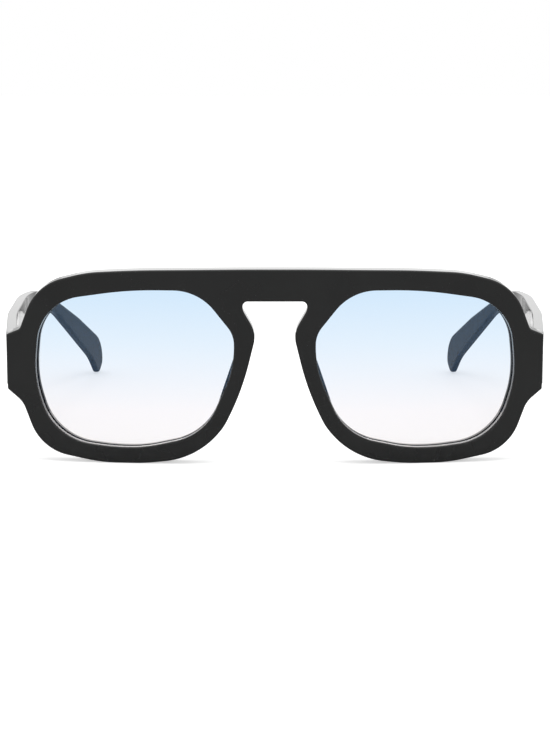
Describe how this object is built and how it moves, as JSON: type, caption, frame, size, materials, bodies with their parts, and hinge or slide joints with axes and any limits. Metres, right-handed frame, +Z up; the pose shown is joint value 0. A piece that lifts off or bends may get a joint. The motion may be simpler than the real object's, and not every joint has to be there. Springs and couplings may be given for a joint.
{
  "type": "sunglasses",
  "caption": "Square flat-top sunglasses with a keyhole bridge: wrapped front, tinted lenses held in grooves, bonded nose pads and temples that fold in on leaf hinges.",
  "frame": {"origin": "centre of the footprint on the surface that the open glasses stand on", "axes": "+Z up; +X towards the wearer's left; the wearer looks along -Y, so the front is at -Y and the temples reach to +Y"},
  "size_m": [0.157, 0.1414, 0.0539],
  "materials": {
    "black_plastic": "gloss",
    "blue_lens": "polished",
    "steel": "satin",
    "brass": "satin"
  },
  "bodies": {
    "front": {"front_frame": "black_plastic", "left_lens": "blue_lens", "right_lens": "blue_lens", "left_nose_pad": "black_plastic", "right_nose_pad": "black_plastic", "left_front_leaf": "steel", "right_front_leaf": "steel", "left_hinge_screw": "brass", "right_hinge_screw": "brass", "left_front_leaf_screws": "steel", "right_front_leaf_screws": "steel"},
    "left_side": {"left_temple": "black_plastic", "left_core_wire": "steel", "left_temple_leaf": "steel", "left_temple_leaf_screws": "steel"},
    "right_side": {"right_temple": "black_plastic", "right_core_wire": "steel", "right_temple_leaf": "steel", "right_temple_leaf_screws": "steel"}
  },
  "joints": [
    {"name": "left_hinge", "type": "hinge", "parent": "front", "child": "left_side", "pos_m": [0.07011, -0.05701, 0.0276], "axis": [0, 0, 1], "range_deg": [0, 85]},
    {"name": "right_hinge", "type": "hinge", "parent": "front", "child": "right_side", "pos_m": [-0.07011, -0.05701, 0.0276], "axis": [0, 0, -1], "range_deg": [0, 80]}
  ]
}
